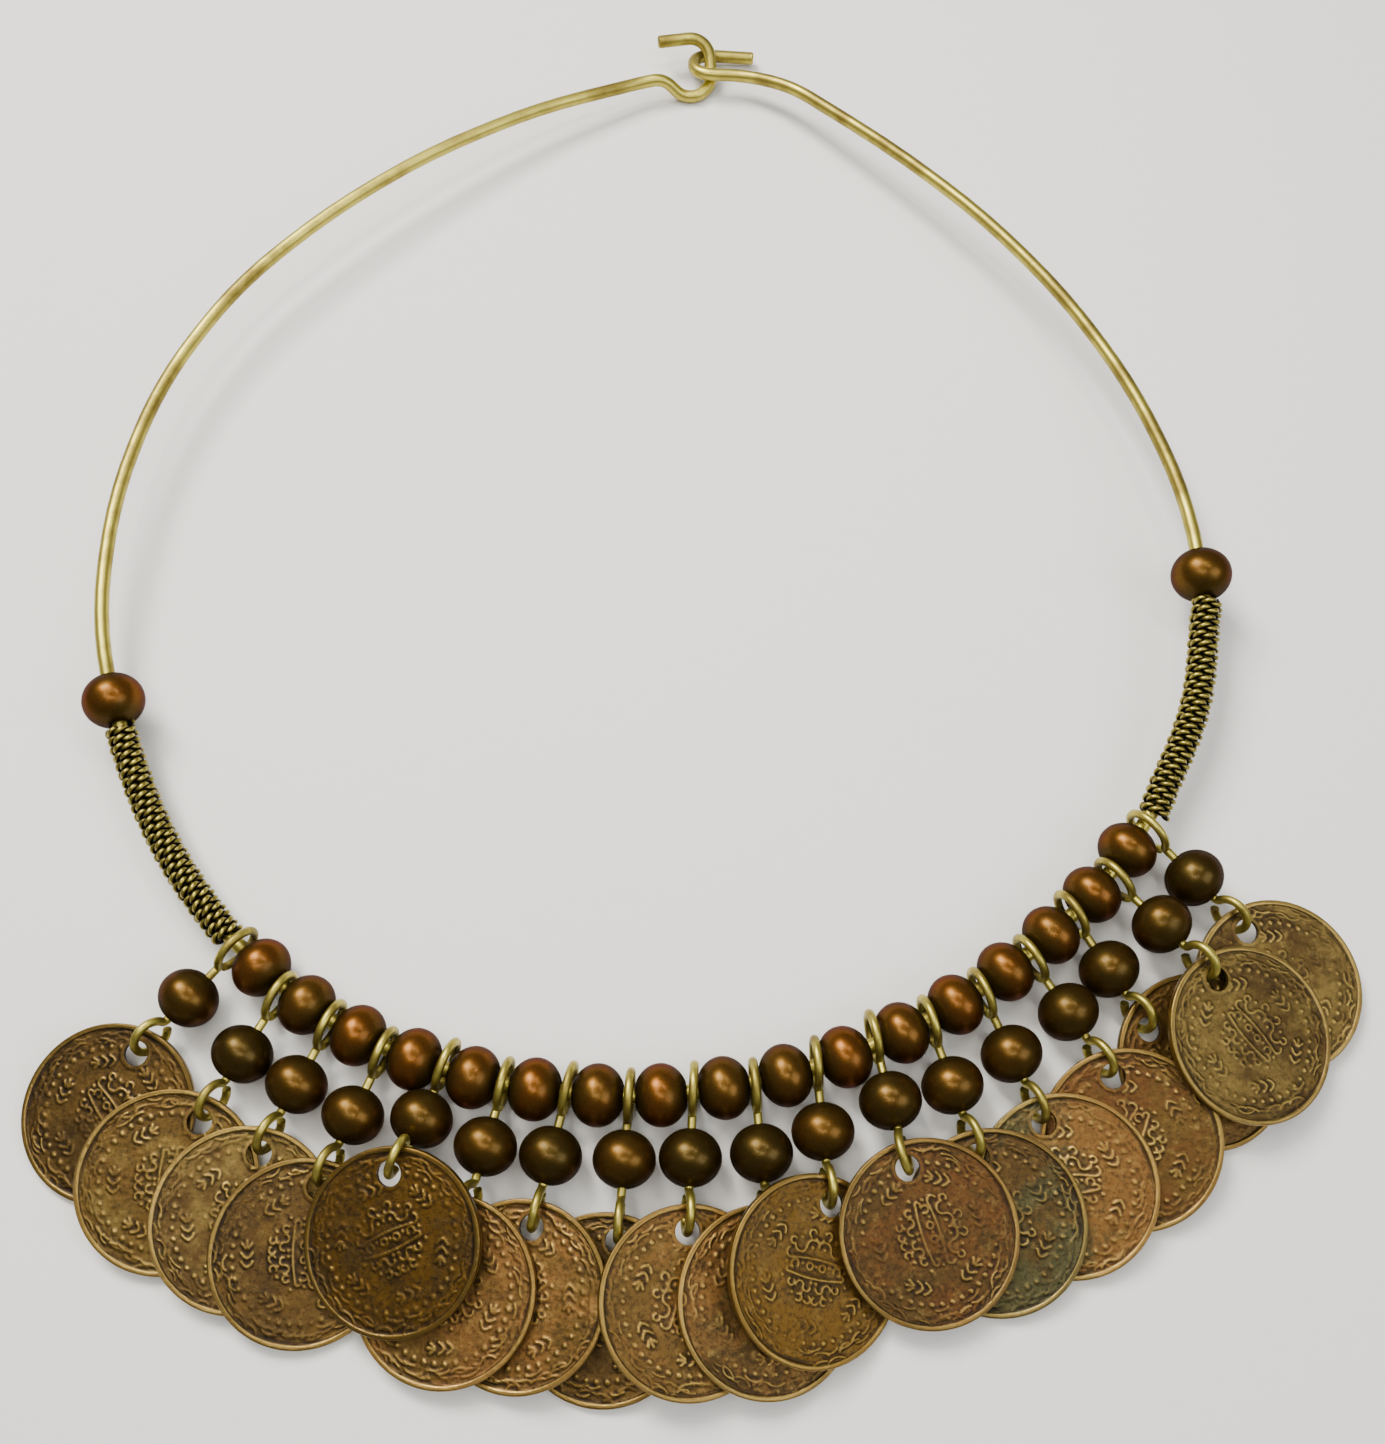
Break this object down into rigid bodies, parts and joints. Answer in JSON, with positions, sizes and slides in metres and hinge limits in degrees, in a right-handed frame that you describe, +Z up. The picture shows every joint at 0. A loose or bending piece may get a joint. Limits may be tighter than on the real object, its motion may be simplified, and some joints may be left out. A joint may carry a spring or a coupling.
{
  "type": "coin necklace",
  "caption": "Stiff wire neck ring hooked on itself at the back, with round beads, coiled wire wraps and overlapping pierced coins hung from eye wires, lying flat.",
  "frame": {"origin": "on the surface that the necklace lies on, under the middle of its bounding box", "axes": "+Z up from the surface, +Y from the coins to the clasp, +X to the wearer's side that is on the right when seen from the coins"},
  "size_m": [0.1542, 0.1896, 0.0108],
  "materials": {
    "coins": "worn bronze with dark recesses and brighter raised relief",
    "eye_wires": "satin",
    "neck_wire": "satin",
    "wraps": "satin with dark gaps",
    "beads": "antiqued copper, polished on top and dark towards the holes"
  },
  "bodies": {
    "root": {"coin_01": "coins", "coin_02": "coins", "coin_03": "coins", "coin_04": "coins", "coin_05": "coins", "coin_06": "coins", "coin_07": "coins", "coin_08": "coins", "coin_09": "coins", "coin_10": "coins", "coin_11": "coins", "coin_12": "coins", "coin_13": "coins", "coin_14": "coins", "coin_15": "coins", "coin_16": "coins", "coin_17": "coins", "coin_18": "coins", "drop_wire_01": "eye_wires", "drop_wire_02": "eye_wires", "drop_wire_03": "eye_wires", "drop_wire_04": "eye_wires", "drop_wire_05": "eye_wires", "drop_wire_06": "eye_wires", "drop_wire_07": "eye_wires", "drop_wire_08": "eye_wires", "drop_wire_09": "eye_wires", "drop_wire_10": "eye_wires", "drop_wire_11": "eye_wires", "drop_wire_12": "eye_wires", "drop_wire_13": "eye_wires", "drop_wire_14": "eye_wires", "drop_wire_15": "eye_wires", "drop_wire_16": "eye_wires", "drop_wire_17": "eye_wires", "drop_wire_18": "eye_wires", "neck_wire": "neck_wire", "wrap_left": "wraps", "wrap_right": "wraps", "neck_beads": "beads", "drop_beads": "beads", "end_bead_left": "beads", "end_bead_right": "beads"}
  },
  "joints": []
}
